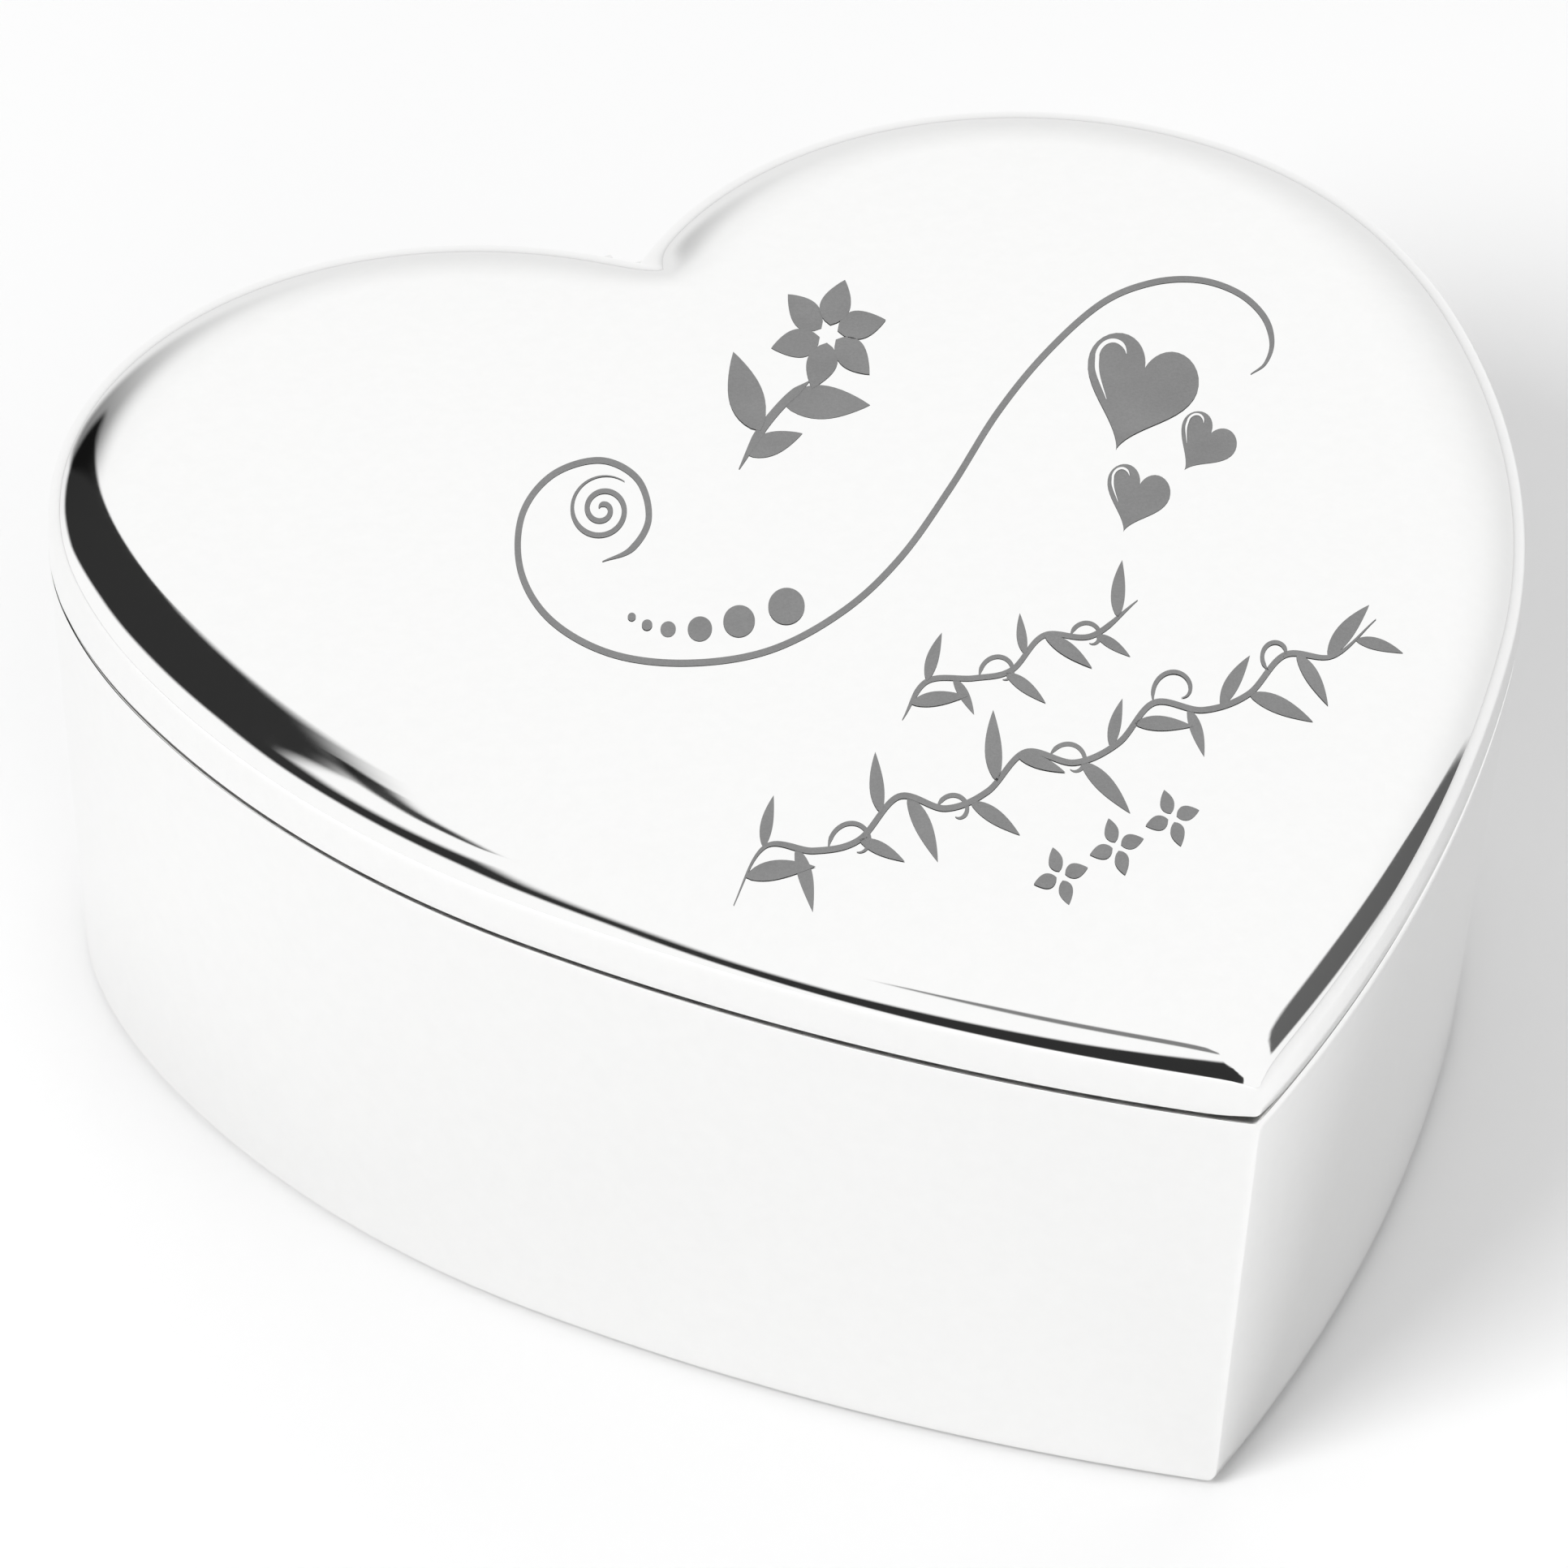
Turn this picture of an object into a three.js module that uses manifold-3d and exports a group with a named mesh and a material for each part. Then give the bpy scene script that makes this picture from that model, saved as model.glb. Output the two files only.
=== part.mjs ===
// Heart-shaped trinket box: a cast metal cup and a hinged, gently domed lid, both
// mirror-plated, with velvet linings inside and a felt pad underneath.
// Units are millimetres and +Z is up. The tip of the heart points along -Y, the
// cleft and the hinge are at +Y, and the origin is the centre of the box's
// bounding box at table level.
import * as THREE from "three";
import { mergeVertices } from "three/addons/utils/BufferGeometryUtils.js";
import Module from "manifold-3d";

const wasm = await Module();
wasm.setup();

// ---------------------------------------------------------------- dimensions
const degrees = Math.PI / 180;

// Half of the heart's outline, tip to cleft: arcs that meet smoothly.
const TIP_Y = -60.0; // before the whole box is centred on its origin
const TIP_HALF_ANGLE = 35; // heading of the side wall at the tip, from +X
const ARCS = [
  { radius: 141, turn: 18.8, steps: 5 },
  { radius: 64.7, turn: 29, steps: 7 },
  { radius: 40.2, turn: 13.5, steps: 4 },
  { radius: 26.5, turn: null, steps: 15 }, // runs on until it meets the cleft
];

const CLEARANCE = 0.3; // gap between neighbouring pieces
const FELT_THICKNESS = 0.9;
const FELT_INSET = 2.0;
const FOOT_Z = 0.5; // underside of the metal rim above the table
const RECESS_INSET = 1.6; // shallow recess that holds the felt
const RECESS_Z = 1.2;
const BASE_WALL = 2.0;
const BASE_TOP_Z = 30.2; // seam between base and lid
const DRAFT = 2.4; // the walls lean in by this much from the seam to the foot
const FLOOR_Z = 3.0;
const BOTTOM_ROUND = 0.5;
const RIM_INSET = 1.3; // locating rim inside the seam
const RIM_TOP_Z = 31.2;

const LID_WALL = 1.0;
const LID_BOTTOM_Z = BASE_TOP_Z + CLEARANCE;
const SKIRT_TOP_Z = 33.6; // where the upright skirt turns into the dome
const EDGE_WIDTH = 6.5; // width of the rolled edge of the dome
const EDGE_RISE = 2.5;
const EDGE_POWER = 2.6;
const CROWN_RISE = 0.8; // slow rise from the rolled edge to the middle
const CROWN_CENTRE_Y = -4;

const CARD_THICKNESS = 0.8;
const VELVET_THICKNESS = 0.9;
const LINING_TOP_Z = 29.3;
const LID_VELVET_Z = 31.5;

// Hinge in the cleft, with its barrel just behind the two lobes.
const AXIS_Y = 36.8;
const AXIS_Z = 24.8;
const BARREL_RADIUS = 1.3;
const BORE_RADIUS = 0.9;
const PIN_RADIUS = 0.6;
const PIN_HEAD_RADIUS = 1.0;
const BARREL_HALF = 8.0;
const LID_KNUCKLE_HALF = 3.9;
const GUSSET_BACK_Y = 35.1;
const GUSSET_BOTTOM_Z = 18.0;
const STOP_ANGLE = 100; // the lid's stop heel meets the gusset here
const HEEL_LENGTH = 2.7;

// ------------------------------------------------------------------ materials
function metal(color, roughness) {
  return new THREE.MeshStandardMaterial({ color, roughness, metalness: 1 });
}
function soft(color) {
  return new THREE.MeshStandardMaterial({ color, roughness: 0.95, metalness: 0 });
}
const plating = metal(0xdfe0e0, 0.06);
const hingeMetal = metal(0xc9cacb, 0.18);
const pinMetal = metal(0xb4b6b8, 0.25);
const velvet = soft(0x17171b);
const card = soft(0x8b7a66);
const felt = soft(0x1d1d1f);

// -------------------------------------------------------------- heart outline
// Centre and heading span of each arc of the half outline.
function outlineArcs() {
  let point = new THREE.Vector2(0, TIP_Y);
  let heading = TIP_HALF_ANGLE * degrees;
  return ARCS.map(({ radius, turn, steps }) => {
    const centre = new THREE.Vector2(
      point.x - radius * Math.sin(heading),
      point.y + radius * Math.cos(heading),
    );
    const start = heading;
    const end = turn === null ? null : start + turn * degrees;
    if (end !== null) {
      point = new THREE.Vector2(
        centre.x + radius * Math.sin(end),
        centre.y - radius * Math.cos(end),
      );
      heading = end;
    }
    return { centre, radius, start, end, steps };
  });
}
const arcs = outlineArcs();

// Right half of the outline moved inwards by inset, cut at x = edge at both ends.
function halfOutline(inset, edge = 0) {
  const points = [];
  arcs.forEach(({ centre, radius, start, end, steps }, index) => {
    const r = radius - inset;
    const first = index === 0;
    const last = end === null;
    const from = first ? Math.asin((edge - centre.x) / r) : start;
    const to = last ? Math.PI - Math.asin((edge - centre.x) / r) : end;
    for (let step = first ? 0 : 1; step <= steps; step++) {
      const heading = from + ((to - from) * step) / steps;
      const x = centre.x + r * Math.sin(heading);
      const y = centre.y - r * Math.cos(heading);
      points.push(new THREE.Vector2(x, y));
    }
  });
  return points;
}

// Whole outline, anticlockwise from the tip.
function heartOutline(inset) {
  const right = halfOutline(inset);
  right[0].x = 0;
  right[right.length - 1].x = 0;
  const left = right.slice(1, -1).reverse();
  return [...right, ...left.map((p) => new THREE.Vector2(-p.x, p.y))];
}

// How far the base wall has leaned in at a height.
function leanAt(z) {
  return (DRAFT * (BASE_TOP_Z - z)) / (BASE_TOP_Z - FOOT_Z);
}

// ------------------------------------------------------------ solid builders
// Closed body through a stack of rings with equal point counts, capped at both ends.
function loft(rings) {
  const count = rings[0].length;
  const positions = rings.flat().flatMap((p) => [p.x, p.y, p.z]);
  const index = [];
  for (let ring = 0; ring + 1 < rings.length; ring++) {
    for (let i = 0; i < count; i++) {
      const a = ring * count + i;
      const b = ring * count + ((i + 1) % count);
      const c = a + count;
      const d = b + count;
      index.push(a, b, d, a, d, c);
    }
  }
  const cap = (ring, flip) => {
    const flat = rings[ring].map((p) => new THREE.Vector2(p.x, p.y));
    const offset = ring * count;
    for (const [a, b, c] of THREE.ShapeUtils.triangulateShape(flat, [])) {
      index.push(offset + a, offset + (flip ? c : b), offset + (flip ? b : c));
    }
  };
  cap(0, true);
  cap(rings.length - 1, false);
  const geometry = new THREE.BufferGeometry();
  geometry.setAttribute("position", new THREE.Float32BufferAttribute(positions, 3));
  geometry.setIndex(index);
  return geometry;
}

function heartRing(inset, z) {
  return heartOutline(inset).map((p) => new THREE.Vector3(p.x, p.y, z));
}

function heartPlate(inset, bottom, thickness) {
  const shape = new THREE.Shape(heartOutline(inset));
  const options = { depth: thickness, bevelEnabled: false };
  return new THREE.ExtrudeGeometry(shape, options).translate(0, 0, bottom);
}

// Strip that follows one half of the leaning wall, from one inset to the next.
function wallStrip(side, outerInset, innerInset, bottom, top) {
  const edge = CLEARANCE / 2;
  const rings = [bottom, top].map((z) => {
    const outer = halfOutline(outerInset + leanAt(z), edge);
    const inner = halfOutline(innerInset + leanAt(z), edge).reverse();
    const ring = [...outer, ...inner].map((p) => new THREE.Vector3(side * p.x, p.y, z));
    return side < 0 ? ring.reverse() : ring;
  });
  return loft(rings);
}

// Prism along X of a profile given as [y, z] points, centred on x.
function prismAlongX(profile, x, length) {
  const shape = new THREE.Shape(profile.map(([y, z]) => new THREE.Vector2(y, z)));
  const geometry = new THREE.ExtrudeGeometry(shape, {
    depth: length,
    bevelEnabled: false,
  });
  const turn = new THREE.Matrix4().makeBasis(
    new THREE.Vector3(0, 1, 0),
    new THREE.Vector3(0, 0, 1),
    new THREE.Vector3(1, 0, 0),
  );
  return geometry.applyMatrix4(turn).translate(x - length / 2, 0, 0);
}

function rodAlongX(radius, x, length, sides = 20) {
  return new THREE.CylinderGeometry(radius, radius, length, sides)
    .rotateZ(90 * degrees)
    .translate(x, AXIS_Y, AXIS_Z);
}

// Manifold solid of a closed geometry, and back again.
function solid(geometry) {
  const bare = geometry.clone();
  bare.deleteAttribute("normal");
  bare.deleteAttribute("uv");
  const merged = mergeVertices(bare, 1e-4);
  return new wasm.Manifold(
    new wasm.Mesh({
      numProp: 3,
      vertProperties: new Float32Array(merged.attributes.position.array),
      triVerts: new Uint32Array(merged.index.array),
    }),
  );
}
function geometryOf(manifold) {
  const mesh = manifold.getMesh();
  const geometry = new THREE.BufferGeometry();
  const positions = new THREE.BufferAttribute(mesh.vertProperties, 3);
  geometry.setAttribute("position", positions);
  geometry.setIndex(new THREE.BufferAttribute(mesh.triVerts, 1));
  return geometry;
}

// ----------------------------------------------------------------- the base
function baseShell() {
  const roundZ = FOOT_Z + BOTTOM_ROUND;
  return loft([
    heartRing(RECESS_INSET + DRAFT, RECESS_Z),
    heartRing(RECESS_INSET + DRAFT, FOOT_Z),
    heartRing(BOTTOM_ROUND + DRAFT, FOOT_Z),
    heartRing(BOTTOM_ROUND * 0.3 + DRAFT, FOOT_Z + BOTTOM_ROUND * 0.3),
    heartRing(leanAt(roundZ), roundZ),
    heartRing(0, BASE_TOP_Z),
    heartRing(RIM_INSET, BASE_TOP_Z),
    heartRing(RIM_INSET, RIM_TOP_Z),
    heartRing(BASE_WALL, RIM_TOP_Z),
    heartRing(BASE_WALL, BASE_TOP_Z),
    heartRing(BASE_WALL + leanAt(FLOOR_Z), FLOOR_Z),
  ]);
}

// ------------------------------------------------------------------- the lid
// Height of the dome above the skirt at a distance in from the outline.
function domeRise(inset) {
  const across = Math.min(inset / EDGE_WIDTH, 1);
  return EDGE_RISE * (1 - Math.pow(1 - across, EDGE_POWER));
}

// Rings of the crown shrink towards a point on the centre line.
function crownRing(inset, share, z) {
  return heartOutline(inset).map((p) => {
    const y = CROWN_CENTRE_Y + (p.y - CROWN_CENTRE_Y) * share;
    return new THREE.Vector3(p.x * share, y, z);
  });
}

function lidShell() {
  const underside = [6.4, 4.4, 2.8, 1.7, LID_WALL].map((inset) => {
    const z = SKIRT_TOP_Z + domeRise(inset) - LID_WALL * 1.3;
    return heartRing(inset, z);
  });
  const edge = [0, 0.5, 1.1, 1.8, 2.7, 3.8, 5.1, EDGE_WIDTH].map((inset) =>
    heartRing(inset, SKIRT_TOP_Z + domeRise(inset)),
  );
  const crown = [0.82, 0.6, 0.36, 0.14].map((share) => {
    const z = SKIRT_TOP_Z + EDGE_RISE + CROWN_RISE * (1 - share * share);
    return crownRing(EDGE_WIDTH, share, z);
  });
  return loft([
    ...underside,
    heartRing(LID_WALL, LID_BOTTOM_Z),
    heartRing(0, LID_BOTTOM_Z),
    ...edge,
    ...crown,
  ]);
}

// ----------------------------------------------------------------- the hinge
// Region of the notch between the lobes: clear of the wall, |x| < half, y < back.
function notchRing(half, back, inset, z) {
  const circle = arcs[arcs.length - 1];
  const r = circle.radius - inset;
  const side = [];
  for (let step = 0; step <= 4; step++) {
    const x = (half * step) / 4;
    const y = circle.centre.y + Math.sqrt(r * r - (x - circle.centre.x) ** 2);
    side.push(new THREE.Vector3(x, y, z));
  }
  const left = side.slice(1).reverse();
  return [
    ...left.map((p) => new THREE.Vector3(-p.x, p.y, z)),
    ...side,
    new THREE.Vector3(half, back, z),
    new THREE.Vector3(-half, back, z),
  ];
}
function notchBlock(half, back, bottom, top, leaning) {
  const inset = (z) => (leaning ? leanAt(z) : 0) - CLEARANCE;
  return loft([
    notchRing(half, back, inset(bottom), bottom),
    notchRing(half, back, inset(top), top),
  ]);
}
function bore(length) {
  return solid(rodAlongX(BORE_RADIUS, 0, length, 20));
}

// Gusset in the notch of the base, with an outer knuckle at each end.
function hingeBaseBracket() {
  const cleftY = halfOutline(0).at(-1).y;
  const profile = [
    [cleftY - 2, GUSSET_BOTTOM_Z + 3],
    [cleftY + 4, GUSSET_BOTTOM_Z],
    [GUSSET_BACK_Y, GUSSET_BOTTOM_Z],
    [GUSSET_BACK_Y, AXIS_Z + 0.6],
    [cleftY + 2, BASE_TOP_Z - 0.5],
    [cleftY - 1, BASE_TOP_Z - 0.5],
  ];
  const gusset = solid(notchBlock(BARREL_HALF, GUSSET_BACK_Y, 16, 30, true)).intersect(
    solid(prismAlongX(profile, 0, BARREL_HALF * 2 + 4)),
  );
  const arm = [
    [GUSSET_BACK_Y - 0.6, AXIS_Z - BARREL_RADIUS],
    [AXIS_Y, AXIS_Z - BARREL_RADIUS],
    [AXIS_Y, AXIS_Z],
    [AXIS_Y - 1.2, AXIS_Z + 0.5],
    [GUSSET_BACK_Y - 0.6, AXIS_Z + 0.5],
  ];
  const gap = LID_KNUCKLE_HALF + CLEARANCE;
  const length = BARREL_HALF - gap;
  let body = gusset;
  for (const side of [-1, 1]) {
    const x = side * (gap + length / 2);
    body = body.add(solid(prismAlongX(arm, x, length)));
    body = body.add(solid(rodAlongX(BARREL_RADIUS, x, length)));
  }
  return geometryOf(body.subtract(bore(BARREL_HALF * 2 + 4)));
}

// Sloping arm from the lid's skirt down to the middle knuckle, with a stop heel.
function hingeLidBracket() {
  const cleftY = halfOutline(0).at(-1).y;
  const profile = [
    [cleftY - 1, LID_BOTTOM_Z],
    [cleftY + 1.7, LID_BOTTOM_Z],
    [AXIS_Y - 1.1, AXIS_Z + 0.7],
    [AXIS_Y, AXIS_Z - 0.2],
    [AXIS_Y + 0.6, AXIS_Z + 1.1],
    [cleftY + 0.4, SKIRT_TOP_Z - 0.6],
    [cleftY - 1, SKIRT_TOP_Z - 0.6],
  ];
  const width = LID_KNUCKLE_HALF * 2;
  const arm = solid(notchBlock(LID_KNUCKLE_HALF, AXIS_Y + 2, 22, 35, false)).intersect(
    solid(prismAlongX(profile, 0, width + 4)),
  );
  const closed = (90 - STOP_ANGLE) * degrees;
  const heelProfile = [
    [0, 0.2],
    [0, -(AXIS_Y - GUSSET_BACK_Y - CLEARANCE)],
    [HEEL_LENGTH, -(AXIS_Y - GUSSET_BACK_Y - CLEARANCE)],
    [HEEL_LENGTH, 0.2],
  ].map(([along, up]) => [
    AXIS_Y + along * Math.cos(closed) + up * Math.sin(closed),
    AXIS_Z - along * Math.sin(closed) + up * Math.cos(closed),
  ]);
  const heel = solid(prismAlongX(heelProfile, 0, width));
  const barrel = solid(rodAlongX(BARREL_RADIUS, 0, width));
  return geometryOf(arm.add(barrel).add(heel).subtract(bore(width + 4)));
}

// Pin with a peened head at each end.
function hingePin() {
  const half = BARREL_HALF + CLEARANCE;
  const profile = [
    [0, -half - 0.6],
    [PIN_HEAD_RADIUS * 0.7, -half - 0.6],
    [PIN_HEAD_RADIUS, -half - 0.3],
    [PIN_HEAD_RADIUS, -half],
    [PIN_RADIUS, -half],
    [PIN_RADIUS, half],
    [PIN_HEAD_RADIUS, half],
    [PIN_HEAD_RADIUS, half + 0.3],
    [PIN_HEAD_RADIUS * 0.7, half + 0.6],
    [0, half + 0.6],
  ].map(([r, along]) => new THREE.Vector2(r, along));
  return new THREE.LatheGeometry(profile, 20)
    .rotateZ(90 * degrees)
    .translate(0, AXIS_Y, AXIS_Z);
}

// ------------------------------------------------------------------ assembly
const box = new THREE.Group();
const base = new THREE.Group();
const lid = new THREE.Group();
box.add(base, lid);

function piece(parent, name, geometry, material) {
  const mesh = new THREE.Mesh(geometry, material);
  mesh.name = name;
  parent.add(mesh);
}

const cardInset = BASE_WALL + CLEARANCE;
const velvetInset = cardInset + CARD_THICKNESS + CLEARANCE;
const floorCardZ = FLOOR_Z + CLEARANCE;
const floorInset =
  velvetInset + VELVET_THICKNESS + CLEARANCE + leanAt(floorCardZ);
const floorVelvetZ = floorCardZ + CARD_THICKNESS + CLEARANCE;

piece(base, "base_shell", baseShell(), plating);
piece(base, "underside_felt", heartPlate(FELT_INSET + DRAFT, 0, FELT_THICKNESS), felt);
piece(base, "floor_card", heartPlate(floorInset, floorCardZ, CARD_THICKNESS), card);
piece(
  base,
  "floor_velvet",
  heartPlate(floorInset, floorVelvetZ, VELVET_THICKNESS),
  velvet,
);
for (const [word, side] of [
  ["left", -1],
  ["right", 1],
]) {
  const bottom = floorCardZ;
  const cardStrip = wallStrip(
    side,
    cardInset,
    cardInset + CARD_THICKNESS,
    bottom,
    LINING_TOP_Z - 0.4,
  );
  const velvetStrip = wallStrip(
    side,
    velvetInset,
    velvetInset + VELVET_THICKNESS,
    bottom,
    LINING_TOP_Z,
  );
  piece(base, `wall_card_${word}`, cardStrip, card);
  piece(base, `wall_velvet_${word}`, velvetStrip, velvet);
}
piece(base, "hinge_base_bracket", hingeBaseBracket(), hingeMetal);
piece(base, "hinge_pin", hingePin(), pinMetal);

piece(lid, "lid_shell", lidShell(), plating);
piece(lid, "hinge_lid_bracket", hingeLidBracket(), hingeMetal);
const lidCardZ = LID_VELVET_Z + VELVET_THICKNESS + CLEARANCE;
piece(lid, "lid_velvet", heartPlate(1.7, LID_VELVET_Z, VELVET_THICKNESS), velvet);
piece(lid, "lid_card", heartPlate(3.4, lidCardZ, CARD_THICKNESS), card);

// Centre the whole box, hinge included, on the origin.
const bounds = new THREE.Box3().setFromObject(box);
box.position.y = -(bounds.min.y + bounds.max.y) / 2;

export default box;
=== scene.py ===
import bpy, math
import numpy as np
from mathutils import Matrix, Vector
from mathutils.bvhtree import BVHTree


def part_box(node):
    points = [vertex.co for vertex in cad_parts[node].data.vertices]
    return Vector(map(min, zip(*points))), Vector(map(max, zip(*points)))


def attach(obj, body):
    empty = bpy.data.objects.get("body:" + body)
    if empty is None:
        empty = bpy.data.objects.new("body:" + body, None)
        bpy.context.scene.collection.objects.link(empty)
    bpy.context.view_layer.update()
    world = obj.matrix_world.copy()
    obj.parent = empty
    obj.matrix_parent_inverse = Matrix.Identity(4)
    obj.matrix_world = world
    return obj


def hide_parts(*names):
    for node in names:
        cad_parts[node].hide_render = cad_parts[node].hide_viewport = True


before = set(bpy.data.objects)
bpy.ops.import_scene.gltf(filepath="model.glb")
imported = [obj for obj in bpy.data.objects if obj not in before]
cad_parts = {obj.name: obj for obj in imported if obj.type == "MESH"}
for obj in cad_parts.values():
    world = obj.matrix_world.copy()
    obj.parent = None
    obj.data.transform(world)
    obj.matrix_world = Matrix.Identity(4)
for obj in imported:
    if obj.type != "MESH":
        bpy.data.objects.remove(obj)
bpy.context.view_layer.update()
MM = 0.001

# ------------------------------------------------------------------ proportions
# In millimetres. The outline, the walls and the base's heights are the CAD part's. The lid's edge isn't:
# it is wider and taller here, where the CAD's is 6.5 wide and 2.5 high from z 33.6, and the joint is
# narrower, where the CAD's is 0.3.
TIP_Y = -60.0
TIP_HALF_ANGLE = 35.0
# radius, turn in degrees and steps of each arc of a half outline; the last arc runs on to the cleft
ARCS = [(141.0, 18.8, 70), (64.7, 29.0, 50), (40.2, 13.5, 16), (26.5, None, 90)]
SHIFT_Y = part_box("lid_shell")[0][1] / MM - TIP_Y
MID_Y = SHIFT_Y - 4.0  # the middle that inner rings shrink towards
TIP_ROUND = 0.55
CRISP = 0.02  # the rounding of a tip that is left all but sharp
FOOT_Z = 0.5
SEAM_Z = 30.2
LID_Z = 30.41
DRAFT = 2.4
WALL = 2.0
LID_TOP_Z = 36.85
EDGE_W = 7.2
EDGE_H = 3.55
CROWN = 0.75
SKIRT_Z = LID_TOP_Z - CROWN - EDGE_H


def lean(z):
    """How far the leaning wall is drawn in at height z."""
    return DRAFT * (SEAM_Z - z) / (SEAM_Z - FOOT_Z)


def half_outline(inset, tip_round, edge=0.0, thin=1):
    """Right half of the outline moved in by inset, tip to cleft, as points [x, y]."""
    p = np.array([0.0, TIP_Y])
    h = math.radians(TIP_HALF_ANGLE)
    out = []
    for i, (radius, turn, steps) in enumerate(ARCS):
        steps = max(3, steps // thin)
        c = np.array([p[0] - radius * math.sin(h), p[1] + radius * math.cos(h)])
        r = radius - inset
        start = h
        if i == 0:
            t = max(tip_round, 1e-4)
            start = math.asin((edge - c[0]) / (r - t))
            cy = c[1] - (r - t) * math.cos(start)
            fillet = np.linspace(0, start, 8)[:-1]
            out.append(np.c_[edge + t * np.sin(fillet), cy - t * np.cos(fillet)])
        if turn is None:
            stop = math.pi - math.asin((edge - c[0]) / r)
        else:
            stop = h + math.radians(turn)
            p = np.array([c[0] + radius * math.sin(stop), c[1] - radius * math.cos(stop)])
        a = np.linspace(start, stop, steps + 1)[(0 if i == 0 else 1):]
        out.append(np.c_[c[0] + r * np.sin(a), c[1] - r * np.cos(a)])
        h = stop
    return np.vstack(out)


def outline(inset, tip_round, thin=1):
    """The whole outline moved in by inset, as points [x, y]."""
    right = half_outline(inset, tip_round, thin=thin)
    right[0, 0] = right[-1, 0] = 0.0
    left = right[1:-1][::-1] * [-1, 1]
    ring = np.vstack([right, left])
    ring[:, 1] += SHIFT_Y
    return ring


def level_ring(inset, z, tip_round, thin=1):
    """The outline moved in by inset, as points [x, y, z] at one height."""
    ring = outline(inset, tip_round, thin)
    return np.c_[ring, np.full(len(ring), z)]


def new_object(name, verts, faces, body, material, sharp=None):
    """A smooth piece from points in millimetres, with creases where faces meet at over sharp degrees."""
    mesh = bpy.data.meshes.new(name)
    mesh.from_pydata([tuple(v) for v in np.asarray(verts, float) * MM], [], faces)
    mesh.validate()
    mesh.update()
    mesh.polygons.foreach_set("use_smooth", [True] * len(mesh.polygons))
    if sharp is not None:
        mesh.set_sharp_from_angle(angle=math.radians(sharp))
    obj = bpy.data.objects.new(name, mesh)
    bpy.context.scene.collection.objects.link(obj)
    mesh.materials.append(material)
    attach(obj, body)
    return obj


def ring_faces(rings, count, closed=True):
    """Faces between rings of count points each."""
    faces = []
    for k in range(rings - 1):
        for i in range(count if closed else count - 1):
            a = k * count + i
            b = k * count + (i + 1) % count
            faces.append((a, b, b + count, a + count))
    return faces


def heart_loft(name, profile, body, material, sharp, thin=1):
    """profile: (inset, z, tip_round) from the bottom cap round to the top cap."""
    rings = [level_ring(d, z, t, thin) for d, z, t in profile]
    n = len(rings[0])
    verts = np.vstack(rings)
    faces = ring_faces(len(rings), n)
    faces.append(tuple(range(n))[::-1])
    faces.append(tuple(range((len(rings) - 1) * n, len(rings) * n)))
    return new_object(name, verts, faces, body, material, sharp=sharp)


# ------------------------------------------------------------------- materials
def new_material(name):
    m = bpy.data.materials.new(name)
    m.use_nodes = True
    nt = m.node_tree
    bsdf = nt.nodes["Principled BSDF"]
    return m, nt, bsdf


def node(nt, kind, **values):
    """A new node with its settings; in_NAME sets an input's value."""
    n = nt.nodes.new(kind)
    for key, value in values.items():
        if key.startswith("in_"):
            n.inputs[key[3:].replace("_", " ")].default_value = value
        else:
            setattr(n, key, value)
    return n


def ramp(nt, fac, stops):
    """A ramp between two stops of (position, grey level or colour)."""
    r = nt.nodes.new("ShaderNodeValToRGB")
    for element, (position, value) in zip(r.color_ramp.elements, stops):
        element.position = position
        element.color = (*value, 1) if isinstance(value, tuple) else (value, value, value, 1)
    nt.links.new(fac, r.inputs["Fac"])
    return r.outputs["Color"]


def noise(nt, scale, detail, roughness):
    """Noise over the object's own coordinates, in metres."""
    n = node(nt, "ShaderNodeTexNoise", in_Scale=scale, in_Detail=detail, in_Roughness=roughness)
    nt.links.new(nt.nodes.new("ShaderNodeTexCoord").outputs["Object"], n.inputs["Vector"])
    return n.outputs["Fac"]


def mean(nt, a, b):
    total = node(nt, "ShaderNodeMath", operation="ADD")
    half = node(nt, "ShaderNodeMath", operation="MULTIPLY")
    half.inputs[1].default_value = 0.5
    nt.links.new(a, total.inputs[0])
    nt.links.new(b, total.inputs[1])
    nt.links.new(total.outputs[0], half.inputs[0])
    return half.outputs[0]


def add_bump(nt, bsdf, height, strength, distance):
    bump = node(nt, "ShaderNodeBump", in_Strength=strength, in_Distance=distance)
    nt.links.new(height, bump.inputs["Height"])
    nt.links.new(bump.outputs["Normal"], bsdf.inputs["Normal"])


def plated(name, tint=(0.93, 0.93, 0.925), rough=0.035, wave=0.010):
    """Plated metal with a slow waviness, and fine variation in tint and gloss."""
    m, nt, bsdf = new_material(name)
    slow_noise = noise(nt, 38.0, 2.0, 0.45)
    fine = noise(nt, 900.0, 3.0, 0.6)
    dimmer = tuple(c * 0.985 for c in tint)
    nt.links.new(ramp(nt, fine, [(0.3, dimmer), (0.7, tint)]), bsdf.inputs["Base Color"])
    nt.links.new(ramp(nt, fine, [(0.35, rough), (0.75, rough * 1.7)]), bsdf.inputs["Roughness"])
    add_bump(nt, bsdf, slow_noise, wave, 0.001)
    bsdf.inputs["Metallic"].default_value = 1.0
    return m


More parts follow.
